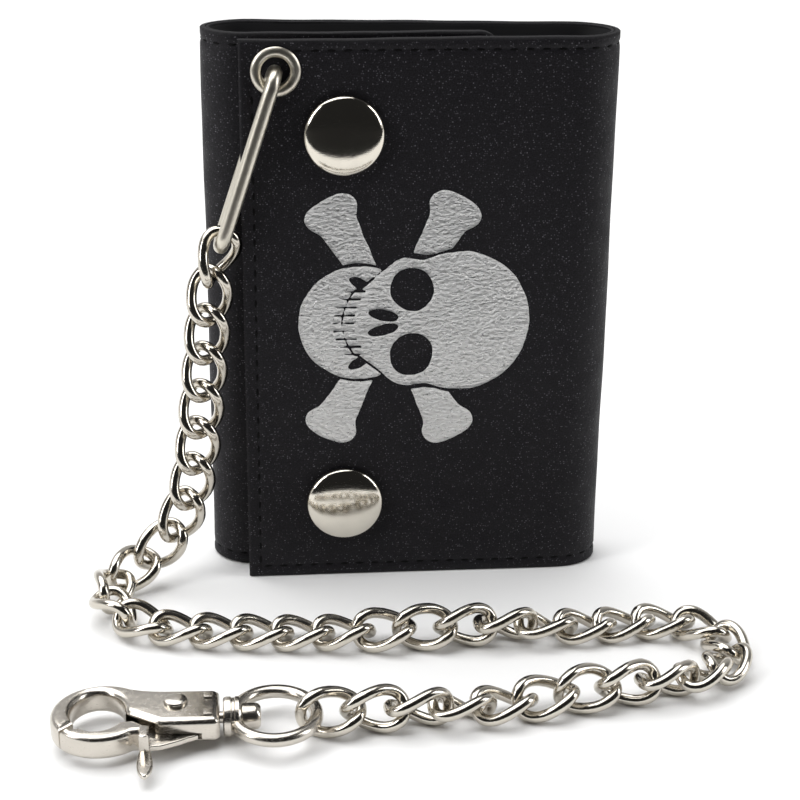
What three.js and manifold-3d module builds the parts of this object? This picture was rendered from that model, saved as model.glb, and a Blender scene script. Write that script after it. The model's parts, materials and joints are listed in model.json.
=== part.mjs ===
// A three-fold leather wallet with a curb-link safety chain and a swivel trigger clasp.
// Units are millimetres, +Z is up. The wallet stands closed on its lower edges, its front
// flap faces -Y, and the chain hangs from an eyelet in the flap and lies on the ground.
// The origin is the middle of the flap's lower edge.
import * as THREE from 'three';
import { mergeVertices } from 'three/addons/utils/BufferGeometryUtils.js';
import Module from 'manifold-3d';

const wasm = await Module();
wasm.setup();

// ---------------------------------------------------------------- driving dimensions
const WALLET_HEIGHT = 108.4;
const LEAF = 1.8;               // outer leather with its lining
const POCKET = 1.2;             // a stack of card pocket leather
const GAP = 0.3;                // clearance between touching pieces
const BEND_STEPS = 7;           // flats in each quarter of a leather fold

const FLAP_LEFT = -34.5;        // the flap's free edge
const FOLD_START = 27.6;        // where the leather starts to bend round the right fold
const RIGHT_FOLD_X = 35.6;      // middle of the leather at the outermost point of the right fold
const RIGHT_FOLD_Y = 6.4;
const RIGHT_BACK_Y = 13.2;      // middle of the back leather where the right fold ends
// Middle of the back leather where the left fold starts.
const LEFT_BACK = [-35.5, 18.6];
const LEFT_FOLD_X = -40.6;      // middle of the leather at the outermost point of the left fold
const LEFT_FOLD_Y = 12.2;
const INNER_Y = 5.7;            // middle of the inner panel's leather
const INNER_FRONT_X = -33;      // where the left fold ends on the inner panel
const INNER_RIGHT = 14;         // the inner panel's free edge

const SNAP_X = -15.4;
const SNAP_HEIGHTS = { lower: 16, upper: 90.5 };
const CAP_RADIUS = 7.6;
const CAP_EDGE = 0.45;          // height of the cap's upright rim
const CAP_DOME = 1.9;           // height of the dome above that rim
const SNAP_STEM = 1.6;
const CARD_STEP = 14;           // how much lower each card pocket's edge is than the one behind it
const CARD_POCKETS = 3;
const EYELET = { x: -27.8, z: 102.4, hole: 2.7, flange: 4.6 };

const LOOP = { wire: 1.4, bend: 3.1, reach: 34.4, lean: THREE.MathUtils.degToRad(18.1) };

const LINK_COUNT = 39;
const LINK = {
  pitch: 7.6, wire: 1.06, halfLength: 5.2, halfWidth: 3.45, twist: Math.PI / 4, fullness: 0.8,
};

const RING = { wire: 1.2, halfLength: 7.1, halfWidth: 7.9, slack: 0.15 };
const SWIVEL = { collar: 3.5, pin: 1.0, nose: 2.2, head: 1.9 };
const CLASP = { half: 2.3, slot: 1.5, pivot: [-24.1, 1.6], rivet: 1.0 };

// ---------------------------------------------------------------- materials
function finish(color, roughness, metalness) {
  return new THREE.MeshStandardMaterial({ color, roughness, metalness });
}
const BLACK_LEATHER = finish(0x17171b, 0.6, 0);
const BLACK_LINING = finish(0x101013, 0.75, 0);
const NICKEL = finish(0xc9c5bc, 0.18, 1);
const SPRING_STEEL = finish(0x8e8c88, 0.35, 1);

// ---------------------------------------------------------------- geometry helpers
function welded(geometry) {
  const bare = geometry.clone();
  bare.deleteAttribute('normal');
  bare.deleteAttribute('uv');
  return mergeVertices(bare, 1e-4);
}

function toSolid(geometry) {
  const mesh = welded(geometry);
  return new wasm.Manifold(new wasm.Mesh({
    numProp: 3,
    vertProperties: new Float32Array(mesh.attributes.position.array),
    triVerts: new Uint32Array(mesh.index.array),
  }));
}

function fromSolid(solid) {
  const mesh = solid.getMesh();
  const geometry = new THREE.BufferGeometry();
  geometry.setAttribute('position', new THREE.BufferAttribute(mesh.vertProperties, 3));
  geometry.setIndex(new THREE.BufferAttribute(mesh.triVerts, 1));
  return geometry;
}

function join(first, ...others) {
  return fromSolid(others.reduce((sum, piece) => sum.add(toSolid(piece)), toSolid(first)));
}

function cut(first, ...tools) {
  return fromSolid(tools.reduce((rest, tool) => rest.subtract(toSolid(tool)), toSolid(first)));
}

// A disc or drum whose axis runs along Y, X or Z, from `from` to `to` along that axis.
function drum(radius, from, to, axis, segments = 20) {
  const geometry = new THREE.CylinderGeometry(radius, radius, to - from, segments);
  geometry.translate(0, (from + to) / 2, 0);
  if (axis === 'x') geometry.rotateZ(-Math.PI / 2);
  if (axis === 'z') geometry.rotateX(Math.PI / 2);
  return geometry;
}

function block(x0, x1, y0, y1, z0, z1) {
  const geometry = new THREE.BoxGeometry(x1 - x0, y1 - y0, z1 - z0);
  return geometry.translate((x0 + x1) / 2, (y0 + y1) / 2, (z0 + z1) / 2);
}

// A turned piece: profile points are [radius, distance along the axis], and the axis is Y.
function turned(profile, segments = 24) {
  return new THREE.LatheGeometry(profile.map(([r, d]) => new THREE.Vector2(r, d)), segments);
}

function slab(shape, z0, z1, curveSegments = 8) {
  const geometry = new THREE.ExtrudeGeometry(shape, {
    depth: z1 - z0, bevelEnabled: false, curveSegments,
  });
  return geometry.translate(0, 0, z0);
}

// A closed wire of round section: `centreAt(t)` gives the wire's middle for t from 0 to 1,
// and `outwardAt(t)` a direction that points away from the ring's own middle.
function closedWire(centreAt, outwardAt, radius, steps, sides) {
  const geometry = new THREE.TorusGeometry(1, 0.1, sides, steps);
  const position = geometry.attributes.position;
  const uv = geometry.attributes.uv;
  for (let i = 0; i < position.count; i += 1) {
    const t = uv.getX(i) % 1;
    const angle = uv.getY(i) * 2 * Math.PI;
    const tangent = centreAt((t + 0.001) % 1).sub(centreAt((t + 0.999) % 1)).normalize();
    const outward = outwardAt(t).clone();
    outward.addScaledVector(tangent, -outward.dot(tangent)).normalize();
    const across = new THREE.Vector3().crossVectors(outward, tangent);
    const point = centreAt(t)
      .addScaledVector(outward, radius * Math.cos(angle))
      .addScaledVector(across, radius * Math.sin(angle));
    position.setXYZ(i, point.x, point.y, point.z);
  }
  return geometry;
}

// A leaf of leather standing on its edge: a strip of even thickness along plan curves that
// follow on from each other.
function leaf(curves, thickness, z0 = 0, z1 = WALLET_HEIGHT) {
  const near = [];
  const far = [];
  curves.forEach((curve, index) => {
    const steps = curve.isLineCurve ? 1 : BEND_STEPS;
    for (let i = index === 0 ? 0 : 1; i <= steps; i += 1) {
      const point = curve.getPointAt(i / steps);
      const tangent = curve.getTangentAt(i / steps);
      const side = new THREE.Vector2(-tangent.y, tangent.x).multiplyScalar(thickness / 2);
      near.push(point.clone().sub(side));
      far.unshift(point.clone().add(side));
    }
  });
  return slab(new THREE.Shape([...near, ...far]), z0, z1);
}

function line(a, b) {
  return new THREE.LineCurve(new THREE.Vector2(...a), new THREE.Vector2(...b));
}

// A quarter of an oval from `a` to `b`, leaving `a` along X or along Y.
function quarter(a, b, leaving) {
  const k = 0.5523;
  const reach = (from, to) => from + (to - from) * k;
  const first = leaving === 'x' ? [reach(a[0], b[0]), a[1]] : [a[0], reach(a[1], b[1])];
  const second = leaving === 'x' ? [b[0], reach(b[1], a[1])] : [reach(b[0], a[0]), b[1]];
  return new THREE.CubicBezierCurve(
    new THREE.Vector2(...a), new THREE.Vector2(...first),
    new THREE.Vector2(...second), new THREE.Vector2(...b),
  );
}

const group = new THREE.Group();

function addMesh(name, geometry, material, parent = group) {
  const mesh = new THREE.Mesh(geometry, material);
  mesh.name = name;
  parent.add(mesh);
  return mesh;
}

// ---------------------------------------------------------------- leather panels
function holeThrough(x, z, radius) {
  return drum(radius, -5, 12, 'y', 16).translate(x, 0, z);
}

function makeFrontFlap() {
  const flap = leaf([
    line([FLAP_LEFT, 0], [FOLD_START, 0]),
    quarter([FOLD_START, 0], [RIGHT_FOLD_X, RIGHT_FOLD_Y - GAP / 2], 'x'),
  ], LEAF);
  const holes = Object.values(SNAP_HEIGHTS).map((z) => holeThrough(SNAP_X, z, SNAP_STEM + 0.4));
  return cut(flap, ...holes, holeThrough(EYELET.x, EYELET.z, EYELET.hole + 0.75));
}

function makeBackPanel() {
  return leaf([
    quarter([RIGHT_FOLD_X, RIGHT_FOLD_Y + GAP / 2], [FOLD_START, RIGHT_BACK_Y], 'y'),
    line([FOLD_START, RIGHT_BACK_Y], LEFT_BACK),
    quarter(LEFT_BACK, [LEFT_FOLD_X, LEFT_FOLD_Y + GAP / 2], 'x'),
  ], LEAF);
}

function makeInnerPanel() {
  const panel = leaf([
    quarter([LEFT_FOLD_X, LEFT_FOLD_Y - GAP / 2], [INNER_FRONT_X, INNER_Y], 'y'),
    line([INNER_FRONT_X, INNER_Y], [INNER_RIGHT, INNER_Y]),
  ], LEAF);
  const holes = Object.values(SNAP_HEIGHTS).flatMap((z) => [
    holeThrough(SNAP_X, z, SNAP_STEM + GAP),
    drum(4.2, INNER_Y - 0.1, INNER_Y + 2, 'y', 16).translate(SNAP_X, 0, z),
  ]);
  return cut(panel, ...holes);
}

// Card pockets are a stack of sheets whose front edges step down like stairs.
function makePockets(x0, x1, y0, top) {
  const floor = 3;
  const sheets = [];
  for (let i = 0; i < CARD_POCKETS; i += 1) {
    const reach = POCKET * (1 - i / CARD_POCKETS);
    sheets.push(block(x0, x1, y0, y0 + reach, floor, top - CARD_STEP * (CARD_POCKETS - 1 - i)));
  }
  return join(...sheets);
}

function backLineY(x) {
  const slope = (LEFT_BACK[1] - RIGHT_BACK_Y) / (LEFT_BACK[0] - FOLD_START);
  return RIGHT_BACK_Y + (x - FOLD_START) * slope;
}

// A sheet parallel to the back panel, `offset` in front of the back leather's middle.
function backSheet(x0, x1, offset, thickness, top) {
  const plan = line([x0, backLineY(x0) - offset], [x1, backLineY(x1) - offset]);
  const floor = 2;
  return leaf([plan], thickness, floor, top);
}

function makeBackPockets() {
  const sheets = [];
  for (let i = 0; i < CARD_POCKETS; i += 1) {
    const top = 102 - CARD_STEP * (CARD_POCKETS - 1 - i);
    sheets.push(backSheet(-32, 24, 3.1 - 0.15 * i, POCKET - 0.3 * i, top));
  }
  return join(...sheets);
}

// ---------------------------------------------------------------- snaps and eyelet
function makeSnapCap() {
  const dome = [[0, 0], [CAP_RADIUS, 0], [CAP_RADIUS, -CAP_EDGE]];
  for (let i = 1; i <= 6; i += 1) {
    const angle = (i / 6) * (Math.PI / 2);
    dome.push([Math.cos(angle) * (CAP_RADIUS - 0.25), -CAP_EDGE - Math.sin(angle) * CAP_DOME]);
  }
  dome[dome.length - 1][0] = 0;
  const cap = turned(dome.reverse(), 28).translate(0, -LEAF / 2 - GAP, 0);
  return join(cap, drum(SNAP_STEM, -LEAF / 2 - GAP - 0.5, LEAF / 2 - 0.05, 'y', 12));
}

function makeSnapSocket() {
  return turned([
    [0, 0], [6, 0], [6, 1.2], [5.2, 1.9], [3.3, 1.9], [2.8, 1.5], [2.8, 0.5], [0, 0.5],
  ], 20).translate(0, LEAF / 2 + 0.15, 0);
}

function makeSnapStud() {
  const front = INNER_Y - LEAF / 2 - 0.15;
  const profile = [
    [0, front - 1.75], [2, front - 1.75], [2.3, front - 1.3], [2, front - 0.75],
    [2.4, front - 0.45], [5.2, front - 0.4], [5.2, front], [1.5, front],
    [1.5, INNER_Y + 0.3], [3.7, INNER_Y + 0.3], [3.7, INNER_Y + 0.75], [0, INNER_Y + 0.75],
  ];
  return turned(profile, 20);
}

function makeEyelet() {
  const half = LEAF / 2 + 0.15;
  const { hole, flange } = EYELET;
  return turned([
    [hole, 0], [hole + 0.05, -half], [hole + 0.35, -half - 0.3], [flange - 0.7, -half - 0.35],
    [flange, -half - 0.15], [flange, -half], [hole + 0.45, -half], [hole + 0.45, half],
    [flange, half], [flange, half + 0.15], [flange - 0.7, half + 0.35], [hole + 0.35, half + 0.3],
    [hole + 0.05, half], [hole, 0],
  ], 24);
}

// ---------------------------------------------------------------- chain loop
// An oval of wire through the eyelet, straddling the flap's free edge.
function makeChainLoop() {
  const straight = LOOP.reach - LOOP.bend * 2;
  const outline = new THREE.Shape();
  outline.moveTo(-LOOP.bend, 0);
  outline.lineTo(-LOOP.bend, -straight);
  outline.absarc(0, -straight, LOOP.bend, Math.PI, 2 * Math.PI, false);
  outline.lineTo(LOOP.bend, 0);
  outline.absarc(0, 0, LOOP.bend, 0, Math.PI, false);
  const outlineSteps = [...outline.getSpacedPoints(34)].slice(0, -1);
  const centreAt = (t) => {
    const place = t * outlineSteps.length;
    const i = Math.floor(place) % outlineSteps.length;
    const next = outlineSteps[(i + 1) % outlineSteps.length];
    const point = outlineSteps[i].clone().lerp(next, place - Math.floor(place));
    return new THREE.Vector3(0, point.x, point.y);
  };
  const middle = new THREE.Vector3(0, 0, -straight / 2);
  const outwardAt = (t) => {
    const point = centreAt(t);
    const nearest = new THREE.Vector3(0, 0, THREE.MathUtils.clamp(point.z, -straight, 0));
    return point.sub(nearest.lerp(middle, 0.001));
  };
  return closedWire(centreAt, outwardAt, LOOP.wire, outlineSteps.length, 8);
}

// ---------------------------------------------------------------- chain links
// A curb link: a full oval of wire twisted about its own long axis, which is X.
function makeLink() {
  const fuller = (value) => Math.sign(value) * Math.abs(value) ** LINK.fullness;
  const centreAt = (t) => {
    const along = LINK.halfLength * fuller(Math.cos(2 * Math.PI * t));
    const across = LINK.halfWidth * fuller(Math.sin(2 * Math.PI * t));
    const turn = (-LINK.twist * along) / LINK.halfLength;
    return new THREE.Vector3(along, across * Math.cos(turn), across * Math.sin(turn));
  };
  return closedWire(centreAt, centreAt, LINK.wire, 14, 6);
}

// The chain's route, from the loop's lower end to the clasp's ring.
const ROUTE = [
  [-38.1, 0, 70.8], [-39.6, 0, 67.2], [-40.5, -0.2, 63.6], [-41.2, -0.6, 56], [-42.2, -1, 45],
  [-43.5, -1.4, 33], [-45.3, -1.6, 21], [-48, -1.8, 13], [-52.2, -2.2, 7.3],
  [-57.2, -4.2, 4.9], [-61, -8.9, 4.32], [-62, -15.2, 4.12], [-58.6, -21.4, 3.52],
  [-52.2, -25.2, 2.85], [-44.5, -26.8, 2.7], [-35, -28.2, 2.7], [-24, -29.3, 2.7],
  [-14, -30.6, 3.52], [-6, -31.4, 4.32], [2, -31.8, 4.6], [9, -31.5, 4.6], [16, -31.2, 4.32],
  [23, -30.9, 3.22], [31, -30.2, 2.7], [40, -29.2, 2.7], [46, -29.4, 2.7], [51.6, -32.8, 2.7],
  [54, -39, 2.7], [52.4, -45.6, 2.85], [47.4, -50.4, 3.52], [40.4, -53, 4.12], [33.4, -54.3, 4.6],
  [26, -55.2, 4.6], [19, -56.2, 4.12], [12, -57.3, 3.32], [4, -58.5, 3.42], [-3.5, -59.3, 4.32],
  [-10, -59.7, 4.5], [-17, -59.8, 4.6], [-23.5, -59.8, 4.1], [-30, -59.7, 3.9],
].map((point) => new THREE.Vector3(...point));

// How far each link is rolled about the route, in degrees: 0 lies flat on the ground and
// 90 stands on its edge facing the front. The links that aren't listed lie flat.
const ROLL = { 9: 72, 10: 58, 11: 44, 12: 26, 13: 8, 19: 30, 20: 65, 21: 100, 22: 135, 23: 165, 30: 160,
  31: 130, 32: 95, 33: 60, 34: 25, 36: 155, 37: 125, 38: 90, 39: 55 };
const HANGING_LINKS = 8;
const FIRST_LINK_TURN = THREE.MathUtils.degToRad(40);

// Places along the curve that are one pitch apart in a straight line.
function chainNodes() {
  const curve = new THREE.CatmullRomCurve3(ROUTE, false, 'centripetal');
  const samples = curve.getPoints(4000);
  const nodes = [samples[0]];
  for (const sample of samples) {
    if (nodes.length > LINK_COUNT) break;
    if (sample.distanceTo(nodes[nodes.length - 1]) >= LINK.pitch) nodes.push(sample);
  }
  return nodes;
}

function linkFacing(number, along) {
  if (number === 1) return new THREE.Vector3(Math.sin(FIRST_LINK_TURN), -Math.cos(FIRST_LINK_TURN), 0);
  if (number <= HANGING_LINKS) return new THREE.Vector3(0, -1, 0);
  const roll = THREE.MathUtils.degToRad(ROLL[number] ?? 0);
  const level = new THREE.Vector3(along.y, -along.x, 0).normalize();
  const front = level.y > 0 || (Math.abs(level.y) < 0.5 && level.x < 0) ? level.negate() : level;
  return new THREE.Vector3(0, 0, Math.cos(roll)).addScaledVector(front, Math.sin(roll));
}

function addChain(nodes) {
  const geometry = makeLink();
  for (let i = 0; i < LINK_COUNT; i += 1) {
    const along = nodes[i + 1].clone().sub(nodes[i]).normalize();
    const facing = linkFacing(i + 1, along);
    facing.addScaledVector(along, -facing.dot(along)).normalize();
    const across = new THREE.Vector3().crossVectors(facing, along);
    const name = `chain_link_${String(i + 1).padStart(2, '0')}`;
    const link = addMesh(name, geometry.clone(), NICKEL);
    link.position.copy(nodes[i]).add(nodes[i + 1]).multiplyScalar(0.5);
    link.quaternion.setFromRotationMatrix(new THREE.Matrix4().makeBasis(along, across, facing));
  }
}

// ---------------------------------------------------------------- swivel and clasp
// All clasp pieces share one frame: X runs along the swivel pin towards the chain, and the
// origin is the middle of the ring's wire where the last link holds it.
function makeClaspRing() {
  const centreAt = (t) => new THREE.Vector3(
    RING.halfLength * (Math.cos(2 * Math.PI * t) - 1), RING.halfWidth * Math.sin(2 * Math.PI * t), 0,
  );
  const outwardAt = (t) => new THREE.Vector3(
    Math.cos(2 * Math.PI * t) / RING.halfLength, Math.sin(2 * Math.PI * t) / RING.halfWidth, 0,
  );
  const ring = closedWire(centreAt, outwardAt, RING.wire, 24, 8);
  const collar = drum(SWIVEL.collar, -16, -13, 'x');
  return cut(join(ring, collar), drum(SWIVEL.pin + GAP, -20, -9, 'x', 12));
}

function makeSwivelPin() {
  const { pin, nose, head } = SWIVEL;
  return turned([
    [0, -20.2], [head, -20.2], [head, -19.3], [pin, -19.3], [pin, -12.5], [nose, -12.5],
    [nose, -9.9], [nose - 0.4, -9.5], [0, -9.5],
  ], 16).rotateZ(-Math.PI / 2);
}

const EYE = { x: -36.6, outer: 8.7, innerX: 4.6, innerY: 6.1 };

function hookOutline() {
  const shape = new THREE.Shape();
  shape.moveTo(-17, -4.4);
  shape.lineTo(-17, 5.8);
  shape.lineTo(-26, 6.1);
  shape.quadraticCurveTo(-29.5, 6.4, -31.5, 7.2);
  shape.absarc(EYE.x, 0, EYE.outer, Math.PI * 0.31, Math.PI * 1.2, false);
  shape.absellipse(EYE.x - 0.7, 0.3, EYE.innerX, EYE.innerY, Math.PI * 1.16, Math.PI * 0.02, true);
  shape.quadraticCurveTo(-30.6, -1.6, -26.5, -4.2);
  shape.closePath();
  return shape;
}

function makeClaspBody() {
  const { half, slot, pivot, rivet } = CLASP;
  const body = slab(hookOutline(), -half, half, 20);
  const leverSlot = new THREE.Shape();
  leverSlot.moveTo(-20.9, -9);
  leverSlot.lineTo(-20.9, 3.6);
  leverSlot.lineTo(-30.4, 3.6);
  leverSlot.lineTo(-33.6, -1.2);
  leverSlot.lineTo(-33.6, -9);
  leverSlot.closePath();
  return cut(
    body,
    slab(leverSlot, -slot, slot),
    drum(SWIVEL.pin + GAP, -22, -16, 'x', 12),
    drum(SWIVEL.head + GAP, -21.2, -19, 'x', 12),
    drum(rivet + GAP, -4, 4, 'z', 14).translate(pivot[0], pivot[1], 0),
  );
}

// The sprung gate: an arc that closes the hook, a tongue round the rivet and a thumb tab.
function makeClaspLever() {
  const { pivot, rivet } = CLASP;
  const gate = new THREE.Shape();
  gate.absarc(EYE.x, 0, EYE.outer, Math.PI * 1.26, Math.PI * 1.74, false);
  gate.lineTo(-28.6, -5.4);
  gate.lineTo(-31.6, -3.0);
  gate.absellipse(EYE.x - 0.7, 0.3, EYE.innerX + 0.1, EYE.innerY, Math.PI * 1.8, Math.PI * 1.36, true);
  gate.closePath();
  const tongue = new THREE.Shape();
  tongue.moveTo(-30.5, -6);
  tongue.lineTo(-22.9, -3.6);
  tongue.lineTo(pivot[0] + 2.0, pivot[1]);
  tongue.absarc(pivot[0], pivot[1], 1.9, 0, Math.PI, false);
  tongue.lineTo(-30.6, -3.2);
  tongue.closePath();
  const tab = new THREE.Shape();
  tab.moveTo(-30, -4.8);
  tab.lineTo(-28.4, -4.8);
  tab.lineTo(-27.4, -11.5);
  tab.quadraticCurveTo(-28.4, -14.4, -29.6, -11.5);
  tab.closePath();
  const solid = join(
    slab(gate, -2.1, 2.1, 10),
    slab(tongue, -1.2, 0.1, 6),
    slab(tab, -1.6, 0.2, 4),
  );
  return cut(solid, drum(rivet + GAP, -4, 4, 'z', 14).translate(pivot[0], pivot[1], 0));
}

function makeClaspRivet() {
  const { half, pivot, rivet } = CLASP;
  const head = half + 0.2;
  return turned([
    [0, -head - 0.6], [1.5, -head - 0.6], [1.9, -head - 0.2], [1.9, -head], [rivet, -head],
    [rivet, head], [1.9, head], [1.9, head + 0.2], [1.5, head + 0.6], [0, head + 0.6],
  ], 16).rotateX(Math.PI / 2).translate(pivot[0], pivot[1], 0);
}

// A flat spring that wraps the rivet and pushes the lever shut.
function makeClaspSpring() {
  const { pivot } = CLASP;
  const shape = new THREE.Shape();
  shape.absarc(0, 0, 1.9, Math.PI * 1.25, Math.PI * 2.9, false);
  shape.lineTo(-3.4, -1.4);
  shape.lineTo(-2.9, -1.7);
  shape.absarc(0, 0, 1.4, Math.PI * 2.9, Math.PI * 1.25, true);
  shape.closePath();
  return slab(shape, 0.5, 1.1, 14).translate(pivot[0], pivot[1], 0);
}

function addClasp(chainEnd) {
  const clasp = new THREE.Group();
  clasp.position.set(chainEnd.x + RING.wire + RING.slack, chainEnd.y, chainEnd.z);
  group.add(clasp);
  addMesh('clasp_ring', makeClaspRing(), NICKEL, clasp);
  addMesh('clasp_swivel', makeSwivelPin(), NICKEL, clasp);
  addMesh('clasp_body', makeClaspBody(), NICKEL, clasp);
  addMesh('clasp_lever', makeClaspLever(), NICKEL, clasp);
  addMesh('clasp_rivet', makeClaspRivet(), NICKEL, clasp);
  addMesh('clasp_spring', makeClaspSpring(), SPRING_STEEL, clasp);
}

// ---------------------------------------------------------------- assembly
addMesh('front_flap', makeFrontFlap(), BLACK_LEATHER);
addMesh('back_panel', makeBackPanel(), BLACK_LEATHER);
addMesh('inner_panel', makeInnerPanel(), BLACK_LEATHER);
addMesh('flap_pockets', makePockets(-8, 25, LEAF / 2 + GAP, 100), BLACK_LINING);
addMesh('inner_pockets', makePockets(-31, 12, INNER_Y + LEAF / 2 + GAP, 100), BLACK_LINING);
addMesh('back_pockets', makeBackPockets(), BLACK_LINING);
addMesh('bill_divider', backSheet(-34, 26, 1.9, 0.5, 103), BLACK_LINING);

addMesh('eyelet', makeEyelet(), NICKEL).position.set(EYELET.x, 0, EYELET.z);
for (const [place, height] of Object.entries(SNAP_HEIGHTS)) {
  addMesh(`snap_cap_${place}`, makeSnapCap(), NICKEL).position.set(SNAP_X, 0, height);
  addMesh(`snap_socket_${place}`, makeSnapSocket(), NICKEL).position.set(SNAP_X, 0, height);
  addMesh(`snap_stud_${place}`, makeSnapStud(), NICKEL).position.set(SNAP_X, 0, height);
}

const loop = addMesh('chain_loop', makeChainLoop(), NICKEL);
const loopTop = LOOP.bend + 0.3;
loop.position.set(EYELET.x, 0, EYELET.z);
loop.rotation.y = LOOP.lean;
loop.translateZ(-loopTop);

const nodes = chainNodes();
addChain(nodes);
addClasp(nodes[LINK_COUNT]);

export default group;
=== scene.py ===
# The looks of a black leather chain wallet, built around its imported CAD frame.
# Lengths are written in millimetres and turned into metres where a mesh is made.
import json
import math

import bmesh
import bpy
import numpy as np
from mathutils import Matrix, Vector


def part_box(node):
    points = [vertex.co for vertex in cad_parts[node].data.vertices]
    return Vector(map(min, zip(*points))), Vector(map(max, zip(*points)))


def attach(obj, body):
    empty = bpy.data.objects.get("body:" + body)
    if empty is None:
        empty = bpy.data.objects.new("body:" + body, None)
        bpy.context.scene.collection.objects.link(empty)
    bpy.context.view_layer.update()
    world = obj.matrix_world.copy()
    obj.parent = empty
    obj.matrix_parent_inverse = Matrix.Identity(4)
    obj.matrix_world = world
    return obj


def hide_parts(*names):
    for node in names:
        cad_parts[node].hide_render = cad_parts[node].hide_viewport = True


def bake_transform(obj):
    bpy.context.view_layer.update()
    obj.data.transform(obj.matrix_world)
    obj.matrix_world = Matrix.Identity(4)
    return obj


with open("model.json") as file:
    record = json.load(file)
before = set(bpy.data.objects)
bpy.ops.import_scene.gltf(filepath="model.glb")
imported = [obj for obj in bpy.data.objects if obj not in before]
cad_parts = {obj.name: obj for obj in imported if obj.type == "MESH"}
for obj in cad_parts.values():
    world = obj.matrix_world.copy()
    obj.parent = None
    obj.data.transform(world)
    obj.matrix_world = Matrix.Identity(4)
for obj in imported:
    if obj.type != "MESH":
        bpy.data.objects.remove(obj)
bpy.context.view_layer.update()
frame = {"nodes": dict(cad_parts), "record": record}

MM = 0.001


def corners(node):
    """The lowest and highest corner of a CAD node, in millimetres."""
    low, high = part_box(node)
    return np.array(low) / MM, np.array(high) / MM


# ---- sizes, in millimetres
GAP = 0.3                       # clearance between touching CAD pieces
flap_low, flap_high = corners("front_flap")
back_low = corners("back_panel")[0]
inner_low, inner_high = corners("inner_panel")
HEIGHT = flap_high[2]
LEAF = -2 * flap_low[1]         # outer leather with its lining
SKIN = 1.1                      # the outer leather alone
FLAP_LEFT = flap_low[0]
FOLD_START = 27.6               # x where the flap and the back panel run into the right fold
RIGHT_FOLD = (flap_high[0] - LEAF / 2, flap_high[1] + GAP / 2)
RIGHT_BACK_Y = 13.2             # y of the back panel beside the right fold
LEFT_BACK = (-32.5, 18.34)      # where the back panel runs into the left fold
LEFT_FOLD = (back_low[0] + LEAF / 2, inner_high[1] + GAP / 2)
INNER_FRONT_X = -33.0           # x where the left fold runs out into the inner panel
INNER_Y = inner_low[1] + LEAF / 2
INNER_RIGHT = inner_high[0]
STITCH_INSET = 2.3              # from a seam to the cut edge beside it
STITCH_PITCH = 3.0
FLAT_CREASE = 40                # degrees: a blunter bend of a leather piece is shaded smooth
ROUND_CREASE = 35               # the same for turned and cast pieces

eyelet_low, eyelet_high = corners("eyelet")
EYELET_X = (eyelet_low[0] + eyelet_high[0]) / 2
EYELET_Z = (eyelet_low[2] + eyelet_high[2]) / 2
EYELET_HOLE = 2.7               # radius of the bore
CAPS = []
for cap_name in ("snap_cap_upper", "snap_cap_lower"):
    cap_low, cap_high = corners(cap_name)
    CAPS.append(((cap_low[0] + cap_high[0]) / 2, (cap_low[2] + cap_high[2]) / 2))
CAP_RADIUS = (cap_high[0] - cap_low[0]) / 2


# ---- camera, light, floor
CAMERA_PLACE = (-35.6, -342.3, 178.7)
CAMERA_YAW = math.radians(5.19)
CAMERA_PITCH = math.radians(22.36)
CAMERA_ROLL = math.radians(0.60)
CAMERA_LENS = 85.7
ROOM_SIDE = 3.0                 # metres from the object to the end of the floor
FLAG_FRONT = -0.14              # metres: the dark sheet starts this far in front of the object


def add_camera():
    """The camera looks slightly to the right and down on the standing wallet."""
    forward = Vector((
        math.sin(CAMERA_YAW) * math.cos(CAMERA_PITCH),
        math.cos(CAMERA_YAW) * math.cos(CAMERA_PITCH),
        -math.sin(CAMERA_PITCH),
    ))
    level_right = forward.cross(Vector((0, 0, 1))).normalized()
    level_up = level_right.cross(forward)
    right = level_right * math.cos(CAMERA_ROLL) + level_up * math.sin(CAMERA_ROLL)
    up = level_up * math.cos(CAMERA_ROLL) - level_right * math.sin(CAMERA_ROLL)
    data = bpy.data.cameras.new("camera")
    data.lens = CAMERA_LENS
    data.sensor_width = 36
    data.clip_start = 0.01
    camera = bpy.data.objects.new("camera", data)
    facing = Matrix((right, up, -forward)).transposed().to_4x4()
    camera.matrix_world = Matrix.Translation(Vector(CAMERA_PLACE) * MM) @ facing
    bpy.context.collection.objects.link(camera)
    bpy.context.scene.camera = camera


def add_softbox(name, place, size, power, target=(0, 0, 0.05)):
    """A rectangular lamp, in metres, that faces the middle of the wallet."""
    data = bpy.data.lights.new(name, "AREA")
    data.shape = "RECTANGLE"
    data.size, data.size_y = size
    data.energy = power
    light = bpy.data.objects.new(name, data)
    light.location = place
    light.rotation_euler = (Vector(target) - Vector(place)).to_track_quat("-Z", "Y").to_euler()
    bpy.context.collection.objects.link(light)


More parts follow.
